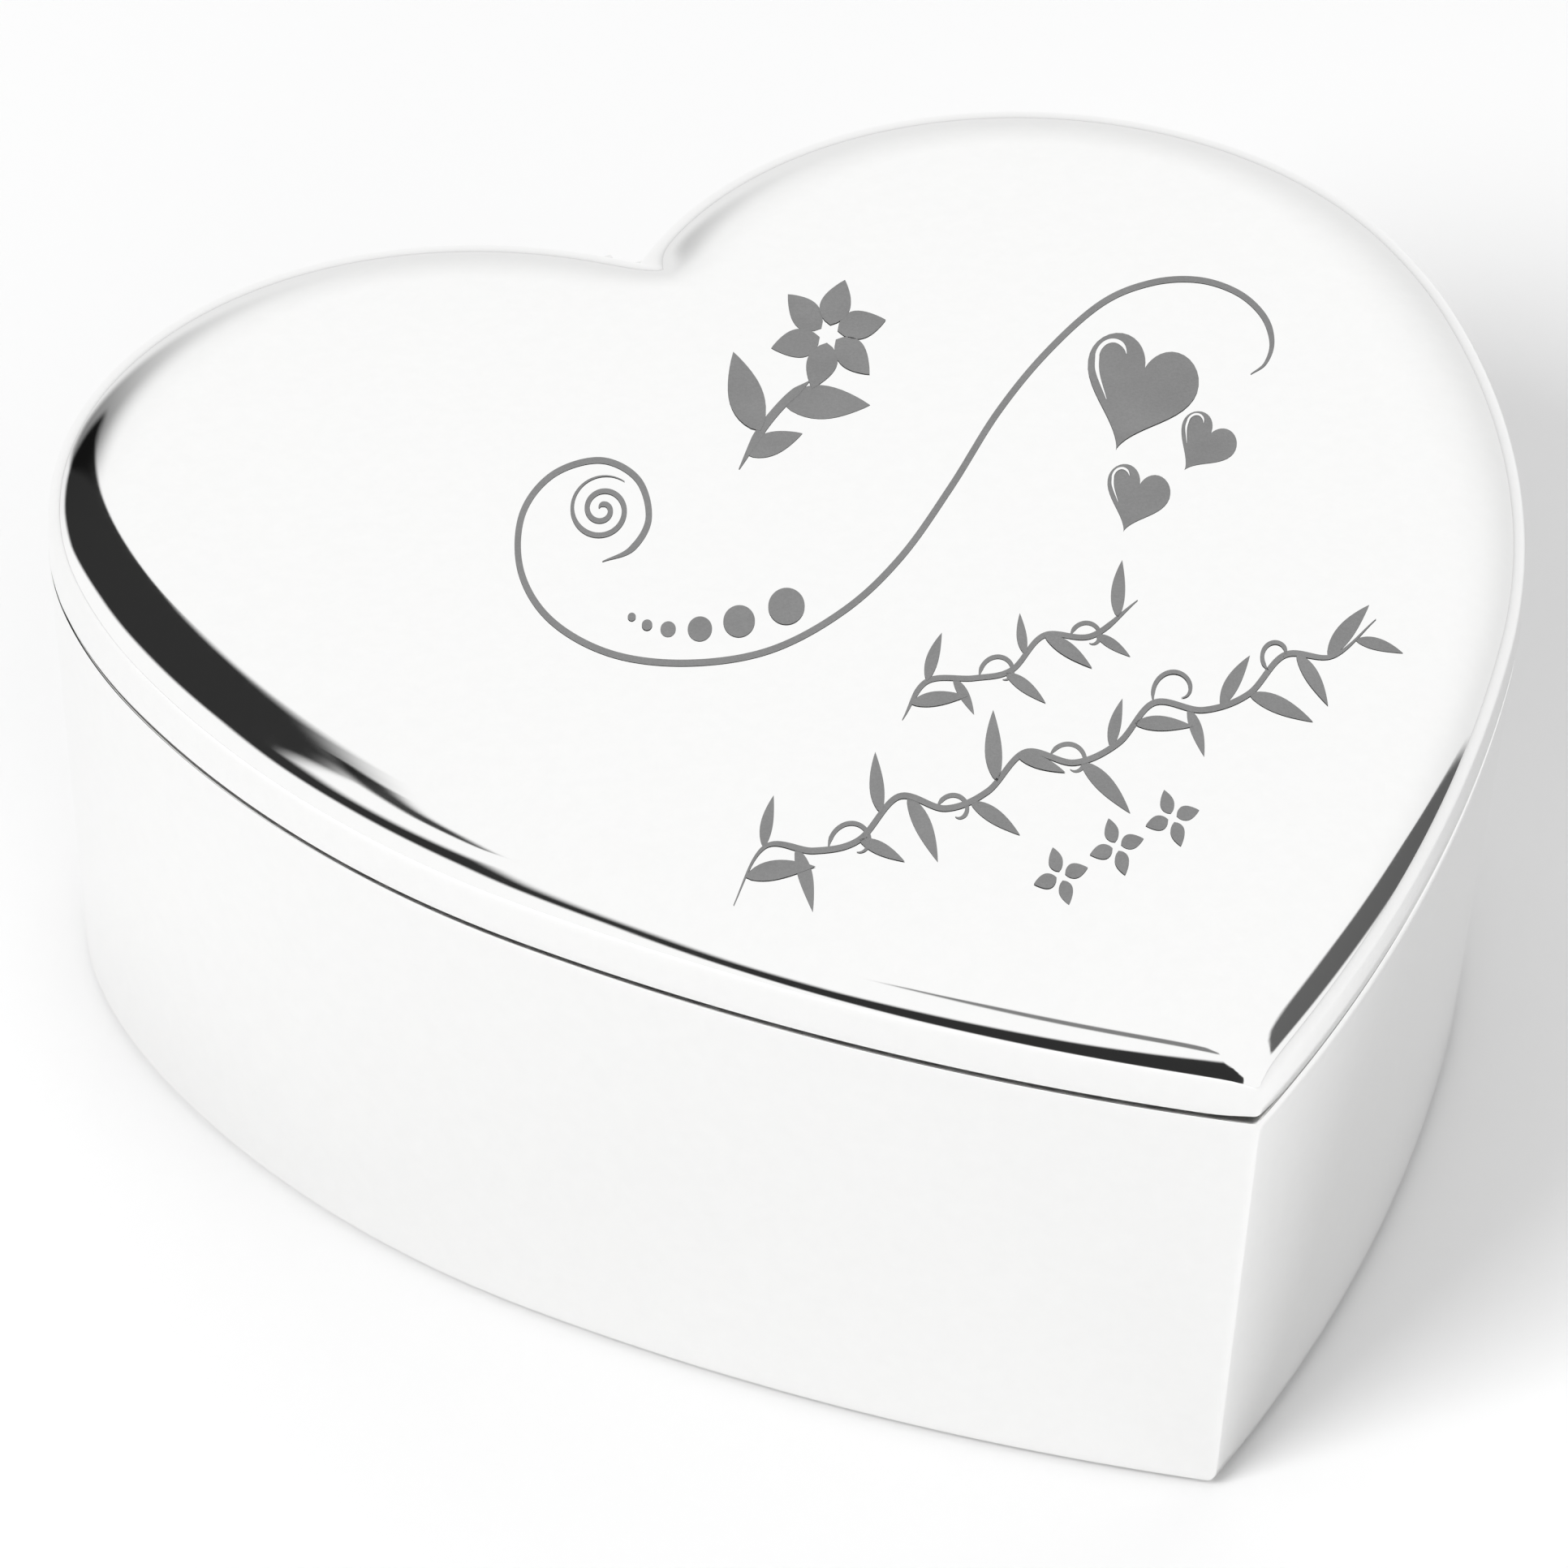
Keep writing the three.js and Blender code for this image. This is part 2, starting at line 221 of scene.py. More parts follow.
def cloth(name, dark, light, scale, sheen):
    """Velvet, felt or board: a fine pile or grain, and larger patches where it lies another way."""
    m, nt, bsdf = new_material(name)
    pile = noise(nt, scale, 4.0, 0.7)
    patches = noise(nt, 60.0, 3.0, 0.6)
    tone = ramp(nt, mean(nt, pile, patches), [(0.32, dark), (0.68, light)])
    nt.links.new(tone, bsdf.inputs["Base Color"])
    add_bump(nt, bsdf, pile, 0.5, 0.0003)
    bsdf.inputs["Roughness"].default_value = 0.95
    bsdf.inputs["Specular IOR Level"].default_value = 0.15
    bsdf.inputs["Sheen Weight"].default_value = sheen
    bsdf.inputs["Sheen Roughness"].default_value = 0.35
    return m


def marked(name):
    """Metal dulled by the engraver: an even mid grey with a fine grain."""
    m, nt, bsdf = new_material(name)
    grain = noise(nt, 5200.0, 2.0, 0.7)
    drift = noise(nt, 240.0, 3.0, 0.5)
    both = mean(nt, grain, drift)
    nt.links.new(ramp(nt, both, [(0.3, 0.195), (0.7, 0.245)]), bsdf.inputs["Base Color"])
    nt.links.new(ramp(nt, both, [(0.3, 0.62), (0.7, 0.5)]), bsdf.inputs["Roughness"])
    add_bump(nt, bsdf, grain, 0.2, 0.0001)
    bsdf.inputs["Specular IOR Level"].default_value = 0.2
    return m


PLATE = plated("mirror_plate")
# the plate inside the joint is duller and darker: partly unpolished metal, partly painted shade for the joint
# line
JOINT_DULL_SHADED = plated("joint_plate_dull_and_painted_shade", tint=(0.74, 0.74, 0.735), rough=0.28, wave=0.05)
HINGE = plated("hinge_plate", tint=(0.84, 0.84, 0.835), rough=0.14, wave=0.03)
PIN = plated("pin_steel", tint=(0.7, 0.705, 0.71), rough=0.22, wave=0.05)
VELVET = cloth("black_velvet", (0.004, 0.004, 0.006), (0.045, 0.045, 0.052), scale=1900.0, sheen=0.9)
FELT = cloth("black_felt", (0.012, 0.012, 0.013), (0.04, 0.04, 0.042), scale=700.0, sheen=0.25)
MARK = marked("frosted_engraving")
CARD = cloth("lining_board", (0.20, 0.165, 0.125), (0.33, 0.28, 0.22), scale=400.0, sheen=0.0)

# -------------------------------------------------------------------- the dome
MOST_ROUNDS = 1600
CLOSE_ENOUGH = 1e-20


def dome_field(rings, count, xy):
    """The triangles of the lid's plan, and a solver of the screened Poisson equation that is 0 at its rim."""
    n = len(xy)
    tri = []
    for k in range(rings - 1):
        i = np.arange(count)
        j = (i + 1) % count
        a, b = k * count + i, k * count + j
        tri.append(np.c_[a, b, b + count])
        tri.append(np.c_[a, b + count, a + count])
    i = np.arange(count)
    j = (i + 1) % count
    base = (rings - 1) * count
    tri.append(np.c_[base + i, base + j, np.full(count, n - 1)])
    tri = np.vstack(tri)
    p = xy[tri]
    e = [p[:, 2] - p[:, 1], p[:, 0] - p[:, 2], p[:, 1] - p[:, 0]]
    area = 0.5 * np.abs(e[0][:, 0] * e[1][:, 1] - e[0][:, 1] * e[1][:, 0])
    rows, cols, vals = [], [], []
    diag = np.zeros(n)
    for a in range(3):
        b, c = (a + 1) % 3, (a + 2) % 3
        w = (e[b] * e[c]).sum(1) / (4 * area + 1e-12)  # stiffness of edge b-c
        rows += [tri[:, b], tri[:, c]]
        cols += [tri[:, c], tri[:, b]]
        vals += [w, w]
        np.add.at(diag, tri[:, b], -w)
        np.add.at(diag, tri[:, c], -w)
    rows, cols, vals = map(np.concatenate, (rows, cols, vals))
    mass = np.bincount(tri.ravel(), np.repeat(area / 3, 3), n)
    free = np.ones(n, bool)
    free[:count] = False

    def solve(screen, load):
        """Conjugate gradients on (stiffness + screen * mass) u = load * mass."""
        def apply(u):
            v = np.bincount(rows, vals * u[cols], n) + diag * u + screen * mass * u
            v[~free] = 0
            return v
        b = load * mass
        b[~free] = 0
        pre = 1 / (diag + screen * mass)
        u = np.zeros(n)
        r = b - apply(u)
        z = pre * r
        q = z.copy()
        rz = r @ z
        for _ in range(MOST_ROUNDS):
            aq = apply(q)
            alpha = rz / (q @ aq)
            u += alpha * q
            r -= alpha * aq
            z = pre * r
            new = r @ z
            if new < CLOSE_ENOUGH:
                break
            q = z + (new / rz) * q
            rz = new
        return u
    return solve, tri


theta = np.linspace(0, math.pi / 2, 30)
insets = list(EDGE_W * (1 - np.cos(theta)))
insets[0] = 0.0
lid_rings = [outline(d, max(TIP_ROUND - d, CRISP)) for d in insets]
SHARES = (0.93, 0.85, 0.76, 0.66, 0.55, 0.44, 0.33, 0.22, 0.12)
for share in SHARES:
    ring = lid_rings[len(insets) - 1].copy()
    ring[:, 0] *= share
    ring[:, 1] = MID_Y + (ring[:, 1] - MID_Y) * share
    lid_rings.append(ring)
COUNT = len(lid_rings[0])
plan = np.vstack(lid_rings + [np.array([[0.0, MID_Y]])])
solve, dome_tris = dome_field(len(lid_rings), COUNT, plan)
# The edge follows a smoothed distance from the rim, and the crown a slow bulge over the whole lid.
SMOOTHING = 1.3
NOTCH_REACH = 5.5
u = solve(1 / SMOOTHING**2, 1 / SMOOTHING**2)
smooth_d = -SMOOTHING * np.log(np.clip(1 - u, 1e-9, 1))
slow = solve(0.0, 1.0)


def quadratic(p):
    return np.c_[np.ones(len(p)), p, p ** 2, p[:, :1] * p[:, 1:]]


# The fan of thin triangles round the middle takes its height from a quadratic through the wider rings.
last = len(lid_rings) * COUNT
fit = slice(last - 6 * COUNT, last - 3 * COUNT)
for rings_out, w in ((4, 0.3), (3, 0.7), (2, 1.0), (1, 1.0), (0, 1.0)):
    coef = np.linalg.lstsq(quadratic(plan[fit]), slow[fit], rcond=None)[0]
    part = slice(last - rings_out * COUNT, last - (rings_out - 1) * COUNT)
    if rings_out == 0:
        part = slice(last, last + 1)
    slow[part] += w * (quadratic(plan[part]) @ coef - slow[part])
slow = slow / slow.max()
# At the cleft the two lobes meet in a sharp notch, so the height there follows each lobe's own inset rings.
ring_d = np.full(len(plan), EDGE_W)
ring_d[:len(insets) * COUNT] = np.repeat(insets, COUNT)
notch = min((q for q in plan[:COUNT] if q[1] > 0), key=lambda q: abs(q[0]))
near = np.exp(-(np.linalg.norm(plan - notch, axis=1) / NOTCH_REACH) ** 2)
smooth_d = smooth_d + near * (ring_d - smooth_d)
t = np.clip(smooth_d / EDGE_W, 0, 1)
edge_z = EDGE_H * np.sqrt(np.clip(1 - (1 - t) ** 2, 0, 1))
dome_z = SKIRT_Z + edge_z + CROWN * slow
dome_z[:COUNT] = SKIRT_Z


def dull_and_shade_joint_faces(obj, first, last, count):
    """Duller, darker plating on the bands of faces from first to last, which lie inside the joint: partly the
    unpolished metal there, partly painted shade that darkens the joint line.
    """
    obj.data.materials.append(JOINT_DULL_SHADED)
    for p in obj.data.polygons[first * count:last * count]:
        p.material_index = 1


# ------------------------------------------------------------------- lid shell
# (inset, z, tip_round) from the middle of the underside out, and up the skirt
low = [(6.4, SKIRT_Z + 2.15, CRISP), (4.4, SKIRT_Z + 1.9, CRISP), (2.4, SKIRT_Z + 1.3, CRISP),
       (1.3, SKIRT_Z + 0.6, CRISP), (0.9, SKIRT_Z - 0.2, CRISP),
       (1.0, LID_Z + 0.25, CRISP), (0.85, LID_Z, 0.05), (0.12, LID_Z, TIP_ROUND - 0.1),
       (0.0, LID_Z + 0.15, TIP_ROUND), (0.0, LID_Z + 0.8, TIP_ROUND)]
rings = [level_ring(d, z, t) for d, z, t in low]
tip = np.array([0.0, TIP_Y + SHIFT_Y])
TIP_LIFT = 0.24
TIP_LIFT_REACH = 1.6
for ring in rings[-4:-1]:
    # the lower corner of the skirt rises a little at the tip, so the joint line opens there
    near_tip = np.exp(-(np.linalg.norm(ring[:, :2] - tip, axis=1) / TIP_LIFT_REACH) ** 2)
    ring[:, 2] += TIP_LIFT * near_tip
verts = np.vstack(rings + [np.c_[plan, dome_z]])
faces = ring_faces(len(rings) + len(lid_rings), COUNT)
last = (len(rings) + len(lid_rings) - 1) * COUNT
centre = len(verts) - 1
faces += [(last + i, last + (i + 1) % COUNT, centre) for i in range(COUNT)]
faces.append(tuple(range(COUNT))[::-1])
lid = new_object("lid_body", verts, faces, "lid", PLATE, sharp=40)
# the lid's underside inside the joint: duller plate, partly painted shade
dull_and_shade_joint_faces(lid, 0, 7, COUNT)
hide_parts("lid_shell")

# ------------------------------------------------------------------ base shell
RIM_ROUND = 0.18
LIP_Z = 31.2
FLOOR_Z = 3.0
FELT_RECESS_Z = 1.2
base = heart_loft("base_body", [
    # the recess for the felt, and the foot
    (1.6 + DRAFT, FELT_RECESS_Z, CRISP), (1.6 + DRAFT, FOOT_Z + 0.1, CRISP), (1.5 + DRAFT, FOOT_Z, CRISP),
    (0.5 + DRAFT, FOOT_Z, 0.1), (0.2 + DRAFT, FOOT_Z + 0.1, 0.35),
    # the outside of the wall
    (lean(FOOT_Z + 0.5), FOOT_Z + 0.5, TIP_ROUND), (lean(FOOT_Z + 1.0), FOOT_Z + 1.0, TIP_ROUND),
    (lean(15.0), 15.0, TIP_ROUND), (lean(29.5), 29.5, TIP_ROUND),
    # the rounded rim, and the lip that the lid drops over
    (lean(SEAM_Z - RIM_ROUND), SEAM_Z - RIM_ROUND, TIP_ROUND),
    (RIM_ROUND * 0.3, SEAM_Z - RIM_ROUND * 0.3, TIP_ROUND), (RIM_ROUND, SEAM_Z, 0.4),
    (1.3, SEAM_Z, CRISP), (1.3, LIP_Z - 0.2, CRISP), (1.45, LIP_Z, CRISP), (1.85, LIP_Z, CRISP),
    (2.0, LIP_Z - 0.15, CRISP),
    # the inside of the wall, down to the floor
    (WALL, SEAM_Z, CRISP), (WALL + lean(FLOOR_Z + 0.4), FLOOR_Z + 0.4, CRISP),
    (WALL + lean(FLOOR_Z) + 0.3, FLOOR_Z, CRISP)],
    "base", PLATE, sharp=40)
# the lip inside the joint: duller plate, partly painted shade
dull_and_shade_joint_faces(base, 11, 17, COUNT)
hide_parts("base_shell")

# --------------------------------------------------------------------- linings
def wobble(p, scale, seed):
    """A smooth, repeatable unevenness at points p, mostly between -1 and 1."""
    rng = np.random.default_rng(seed)
    waves = 10
    out = np.zeros(len(p))
    for _ in range(waves):
        k = rng.normal(size=3) / scale
        out += np.sin(p @ k + rng.uniform(0, 6.28))
    return 2 * out / waves


def shape_mesh(obj, move):
    """Moves the vertices of a soft piece by move(points in mm, normals)."""
    me = obj.data
    n = len(me.vertices)
    co = np.empty(n * 3)
    no = np.empty(n * 3)
    me.vertices.foreach_get("co", co)
    me.vertex_normals.foreach_get("vector", no)
    co = co.reshape(-1, 3) / MM
    no = no.reshape(-1, 3)
    co = move(co, no)
    me.vertices.foreach_set("co", (co * MM).ravel())
    me.update()


PAD_TIP = 0.4
DEEPEST_INSET = 7.9


def heart_pad(name, inset, z_flat, z_face, rise, body, seed):
    """A heart of velvet over thin foam: flat against its board, crowned and uneven on its face."""
    side = 1 if z_face > z_flat else -1
    thick = abs(z_face - z_flat)

    def up(share):
        return z_flat + side * thick * share

    # (inset past the pad's own edge, z) from the board out, round the edge and in over the face
    profile = [(0.25, z_flat), (0.05, z_flat + side * 0.1), (0.0, up(0.3)), (0.1, up(0.6)), (0.35, up(0.86)),
               (0.8, up(0.96)), (1.5, z_face), (2.5, z_face), (3.8, z_face)]
    loops = [level_ring(inset + d, z, PAD_TIP, 2) for d, z in profile if inset + d < DEEPEST_INSET]
    n = len(loops[0])
    edge = loops[-1]
    for share in np.linspace(0.94, 0.05, 22):
        loop = edge.copy()
        loop[:, 0] *= share
        loop[:, 1] = MID_Y + (loop[:, 1] - MID_Y) * share
        loop[:, 2] += side * rise * (1 - share ** 2)
        loops.append(loop)
    verts = np.vstack(loops)
    faces = ring_faces(len(loops), n)
    faces.append(tuple(range(n))[::-1])
    faces.append(tuple(range((len(loops) - 1) * n, len(loops) * n)))
    if side < 0:
        faces = [f[::-1] for f in faces]
    obj = new_object(name, verts, faces, body, VELVET)

    def move(p, no):
        away = np.clip(np.abs(p[:, 2] - z_flat) / thick, 0, 1)
        p[:, 2] += side * away * (0.10 * wobble(p, 5.0, seed) + 0.04 * wobble(p, 1.6, seed + 1))
        return p
    shape_mesh(obj, move)
    return obj


def wall_pad(name, side, seed):
    """One half of the wall lining: velvet over foam, rolled over its board at the top."""
    inset = 3.4
    thick = 0.9
    z0 = 3.3
    z1 = 29.3
    # (depth from the board, z, how soft) up the back, over the board's top, and down the face
    section = [(0.1, z0, 0), (0.0, z0 + 0.2, 0)]
    section += [(0.0, z, 0) for z in np.linspace(z0 + 2, 28.8, 8)]
    section += [(-0.1, 28.93, 0), (-0.9, 28.95, 0), (-1.02, 29.05, 0), (-1.0, 29.22, 0), (-0.8, 29.33, 0),
                (-0.3, 29.38, 0)]
    for a in np.linspace(1.4, math.pi - 0.2, 7):
        section.append((thick / 2 * (1 - math.cos(a)), z1 - 0.45 + 0.45 * math.sin(a), 0))
    section += [(thick, z, 1) for z in np.linspace(z1 - 0.6, z0 + 0.3, 26)]
    section += [(thick - 0.1, z0, 0)]
    loops = []
    for d, z, _ in section:
        half = half_outline(inset + d + lean(z), CRISP, edge=0.15)
        half[:, 1] += SHIFT_Y
        loops.append(np.c_[half * [side, 1], np.full(len(half), z)])
    n = len(loops[0])
    verts = np.vstack(loops)
    faces = ring_faces(len(loops), n, closed=False)
    k = len(loops)
    faces += [((k - 1) * n + i, (k - 1) * n + i + 1, i + 1, i) for i in range(n - 1)]
    faces.append(tuple(j * n for j in range(k)))
    faces.append(tuple(j * n + n - 1 for j in range(k))[::-1])
    if side > 0:
        faces = [f[::-1] for f in faces]
    obj = new_object(name, verts, faces, "base", VELVET)
    face = np.zeros(len(verts))
    for j, (_, z, soft) in enumerate(section):
        face[j * n:(j + 1) * n] = soft * min(1, (z1 - z) / 2) * min(1, (z - z0) / 2)
    face = face * np.clip((np.abs(verts[:, 0]) - 0.3) / 2, 0, 1)

    def move(p, no):
        slow_wave = wobble(p * [1, 1, 0.25], 3.0, seed)
        swell = 0.12 * slow_wave + 0.05 * wobble(p, 1.4, seed + 3) - 0.10
        return p + no * (face * swell)[:, None]
    shape_mesh(obj, move)
    return obj


floor_pad = heart_pad("floor_velvet_pad", 6.77, 4.4, 5.25, 0.35, "base", 3)
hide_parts("floor_velvet")
lid_pad = heart_pad("lid_velvet_pad", 1.75, 32.4, 31.6, 0.25, "lid", 7)
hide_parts("lid_velvet")
for side, word in ((-1, "left"), (1, "right")):
    pad = wall_pad("wall_velvet_pad_" + word, side, 11 + side)
    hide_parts("wall_velvet_" + word)

FELT_INSET = 4.42
FELT_TIP = 0.3
felt_edge = [(0.18, 0.0), (0.03, 0.08), (0.0, 0.3), (0.0, 0.6), (0.04, 0.82), (0.2, 0.9)]
felt = heart_loft("underside_felt_sheet", [(FELT_INSET + d, z, FELT_TIP) for d, z in felt_edge],
                  "base", FELT, sharp=80, thin=2)
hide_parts("underside_felt")
cut = outline(FELT_INSET, FELT_TIP)

for name, mat in (
        ("floor_card", CARD), ("lid_card", CARD), ("wall_card_left", CARD), ("wall_card_right", CARD),
        ("hinge_base_bracket", HINGE), ("hinge_lid_bracket", HINGE), ("hinge_pin", PIN)):
    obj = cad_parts[name]
    obj.data.materials.clear()
    obj.data.materials.append(mat)
    if "hinge" in name:
        bevel = obj.modifiers.new("edges", "BEVEL")
        bevel.width = 0.12 * MM
        bevel.segments = 2
        bevel.limit_method = "ANGLE"
        bevel.angle_limit = math.radians(40)
        bevel.harden_normals = False

# ------------------------------------------------------------------- engraving
# Motifs are laid out as they look from one direction: x to the right and y down from LAYOUT_ZERO on the lid,
# in units of LAYOUT_UNIT millimetres across the line of sight. Their places were read off the photograph,
# and the ornaments in place of its lettering stand where the lettering does.
LAYOUT_ZERO = np.array([0.114, -4.925])
LAYOUT_UNIT = 0.97446
LAYOUT_VIEW = (-26.871, 36.993, 2.477)


def view_axes(azimuth, elevation, roll):
    """Unit vectors to the right, up and back towards the eye, for a view given in degrees."""
    az, el, turn = map(math.radians, (azimuth, elevation, roll))
    back = Vector((math.sin(az) * math.cos(el), -math.cos(az) * math.cos(el), math.sin(el)))
    level = Vector((math.cos(az), math.sin(az), 0))
    rise = back.cross(level)
    right = level * math.cos(turn) + rise * math.sin(turn)
    up = -level * math.sin(turn) + rise * math.cos(turn)
    return right, up, back


seen_right, seen_up, _ = view_axes(*LAYOUT_VIEW)
LAYOUT_TO_PLAN = LAYOUT_UNIT * np.linalg.inv([seen_right[:2], (-seen_up)[:2]])
dome_points = [tuple(v) for v in np.c_[plan, dome_z]]
dome_tree = BVHTree.FromPolygons(dome_points, [tuple(t) for t in dome_tris.tolist()])


def to_lid(points, lift):
    """Points of the layout carried to the lid's top, and lift above it."""
    xy = np.asarray(points, float) @ LAYOUT_TO_PLAN.T + LAYOUT_ZERO
    out = []
    for x, y in xy:
        hit = dome_tree.ray_cast(Vector((x, y, 2 * SEAM_Z)), Vector((0, 0, -1)))[0]
        out.append((x, y, (hit.z if hit else LID_TOP_Z - CROWN) + lift))
    return out


mark_verts, mark_faces = [], []
shine_verts, shine_faces = [], []
SHINE_LIFT = 0.065
layer = [0]


def next_lift():
    """Overlapping strokes lie a few microns apart, so none shades another."""
    layer[0] += 1
    return 0.02 + 0.007 * (layer[0] % 5)


def spline(points, steps=12):
    """A smooth line through the points, by Catmull and Rom's formula."""
    p = np.asarray(points, float)
    p = np.vstack([2 * p[0] - p[1], p, 2 * p[-1] - p[-2]])
    out = []
    for i in range(1, len(p) - 2):
        t = np.linspace(0, 1, steps, endpoint=False)[:, None]
        a, b, c, d = p[i - 1:i + 3]
        square = (2 * a - 5 * b + 4 * c - d) * t ** 2
        cube = (3 * b - a - 3 * c + d) * t ** 3
        out.append(0.5 * (2 * b + (c - a) * t + square + cube))
    return np.vstack(out + [p[-2][None]])


def ribbon(line, width, start, end, shine=False):
    """A stroke along a smooth line, thinned towards its ends."""
    lift = SHINE_LIFT if shine else next_lift()
    line = np.asarray(line, float)
    tan = np.gradient(line, axis=0)
    tan /= np.linalg.norm(tan, axis=1)[:, None] + 1e-9
    nor = np.c_[-tan[:, 1], tan[:, 0]]
    s = np.linspace(0, 1, len(line))
    w = width * np.minimum(1, np.minimum(0.12 + s / max(start, 1e-3), 0.12 + (1 - s) / max(end, 1e-3)))
    left = to_lid(line + nor * w[:, None] / 2, lift)
    right = to_lid(line - nor * w[:, None] / 2, lift)
    verts, faces = (shine_verts, shine_faces) if shine else (mark_verts, mark_faces)
    base = len(verts)
    n = len(line)
    verts += left + right
    faces += [(base + i, base + i + 1, base + n + i + 1, base + n + i) for i in range(n - 1)]


def blob(edge, centre, shares=(1.0, 0.72, 0.42)):
    """A filled shape given by its edge, seen whole from centre."""
    lift = next_lift()
    edge = np.asarray(edge, float)
    centre = np.asarray(centre, float)
    base = len(mark_verts)
    n = len(edge)
    for share in shares:
        mark_verts.extend(to_lid(centre + (edge - centre) * share, lift))
    mark_verts.extend(to_lid([centre], lift))
    for k in range(len(shares) - 1):
        for i in range(n):
            a, b = base + k * n + i, base + k * n + (i + 1) % n
            mark_faces.append((a, b, b + n, a + n))
    last = base + (len(shares) - 1) * n
    mark_faces.extend((last + i, last + (i + 1) % n, base + len(shares) * n) for i in range(n))


def disc(x, y, r):
    """A round dot."""
    a = np.linspace(0, 2 * math.pi, 40, endpoint=False)
    blob(np.c_[x + r * np.cos(a), y + r * np.sin(a)], (x, y), shares=(1.0, 0.5))


def leaf(x, y, angle, length, width):
    """A pointed leaf from (x, y), at an angle in degrees up from the right."""
    a = math.radians(angle)
    d = np.array([math.cos(a), -math.sin(a)])
    n = np.array([-d[1], d[0]])
    s = np.linspace(0, 1, 14)
    w = width * np.sin(math.pi * s ** 0.8) ** 0.9 / 2
    mid = np.array([x, y]) + np.outer(s * length, d) + np.outer(0.12 * length * s ** 2, n)
    edge = np.vstack([mid + w[:, None] * n, (mid - w[:, None] * n)[::-1][1:-1]])
    blob(edge, mid[6], shares=(1.0, 0.6, 0.25))


def heart(cx, cy, size, lean_deg):
    """A plain heart of a given height, turned by lean_deg, with one curved highlight left bright."""
    t = np.linspace(0, 2 * math.pi, 64, endpoint=False)
    x = 14.2 * np.sin(t) ** 3
    y = 13 * np.cos(t) - 5 * np.cos(2 * t) - 2 * np.cos(3 * t) - np.cos(4 * t)
    curve_height = 29.0
    p = np.c_[x, -y] * size / curve_height
    a = math.radians(lean_deg)
    turn = np.array([[math.cos(a), -math.sin(a)], [math.sin(a), math.cos(a)]])
    blob(p @ turn.T + [cx, cy], (cx, cy + 0.02 * size))
    sweep = np.linspace(-0.5, -3.3, 20)
    arc = size * np.c_[-0.30 + 0.125 * np.cos(sweep), -0.17 + 0.15 * np.sin(sweep)]
    tail = spline([arc[-1], (-0.37 * size, 0.0), (-0.22 * size, 0.2 * size)], 8)[1:]
    ribbon(np.vstack([arc, tail]) @ turn.T + [cx, cy], 0.035 * size, 0.15, 0.3, shine=True)


def blossom(cx, cy, r, petals, turn):
    """Petals set round a small open centre."""
    q = 0.16 * r
    for i in range(petals):
        a = math.radians(turn + 360 * i / petals)
        leaf(cx + q * math.cos(a), cy - q * math.sin(a), math.degrees(a), r - q, r * 0.52)


# the scroll: one long double curve and the coil inside its first turn
scroll = spline([
    (-20.45, -2.75), (-18.65, -3.55), (-17.65, -5.45), (-18.4, -7.9), (-20.75, -9.1), (-23.7, -8.2),
    (-25.5, -5.7), (-25.45, -2.2), (-23.5, 0.8), (-19.75, 2.85), (-15, 3.45), (-10, 2.7), (-5.5, 0.3),
    (-2, -3), (1.1, -7.4), (4, -12.1), (7.1, -16), (10.6, -19.25), (13.75, -20.65), (16.75, -20.9),
    (19.25, -20.1), (20.85, -18.6), (21.35, -16.9), (20.9, -15.5), (19.95, -14.75)])
ribbon(scroll, 0.4, 0.05, 0.12)
turns = np.linspace(0, 1, 130)
rad = 0.2 + 2 * turns ** 1.15
ang = math.radians(200) + turns * 2.3 * 2 * math.pi
ribbon(np.c_[-20.55 + rad * np.cos(ang), -6 + rad * np.sin(ang)], 0.325, 0.1, 0.25)

# a row of growing dots under it: x, y and radius
for x, y, r in (
        (-18.55, 0.65, 0.25), (-17.6, 1.15, 0.325), (-16.3, 1.4, 0.475), (-14.35, 1.4, 0.75),
        (-11.95, 0.95, 0.975), (-9.05, 0.05, 1.125)):
    disc(x, y, r)

# three hearts: x, y, height and lean
for place in ((12.85, -13.8, 7.3, 20), (16.95, -10.35, 3.8, 36), (12.6, -6.9, 4.1, 20)):
    heart(*place)

# a flower on a stem, with three leaves: x, y, angle, length and width
stem = spline([(-12.1, -8.5), (-10.8, -10.9), (-9.3, -12.8), (-7.8, -14.1)])
ribbon(stem, 0.55, 0.3, 0.2)
blossom(-6.6, -17.2, 3.7, 6, 20)
for place in ((-10.8, -10.9, 116, 5.4, 2.2), (-9.4, -12.65, 6, 5.4, 2.2), (-11.65, -9.4, 28, 3.7, 1.5)):
    leaf(*place)


def tendril(x, y, angle, r, hand):
    """A short stalk that ends in a curl."""
    t = np.linspace(0, 1, 46)
    a = math.radians(angle) + hand * (-0.6 + t * 4.7)
    rad = r * (1.15 - 0.85 * t)
    pts = np.c_[rad * np.cos(a), -rad * np.sin(a)]
    pts = pts - pts[0] + [x, y]
    ribbon(pts, 0.26, 0.1, 0.35)


def vine(points, width, leaf_length, gap, seed):
    """A running stem with slim leaves that alternate sides, and a curl in place of every fourth leaf."""
    line = spline(points, 16)
    ribbon(line, width, 0.12, 0.12)
    seg = np.r_[0, np.cumsum(np.linalg.norm(np.diff(line, axis=0), axis=1))]
    pos, k = gap * 0.6, 0
    while pos < seg[-1] - gap * 0.3:
        i = int(np.searchsorted(seg, pos))
        d = line[min(i + 1, len(line) - 1)] - line[i - 1]
        along = math.degrees(math.atan2(-d[1], d[0]))
        hand = 1 if k % 2 else -1
        size = leaf_length * (0.84 + 0.16 * math.sin(seed + 2.1 * k))
        if k % 4 == 3:
            tendril(line[i][0], line[i][1], along + 90 + 60 * hand, size * 0.34, -hand)
        else:
            leaf(line[i][0], line[i][1], along + 50 * hand, size, size * 0.25)
        pos += gap
        k += 1


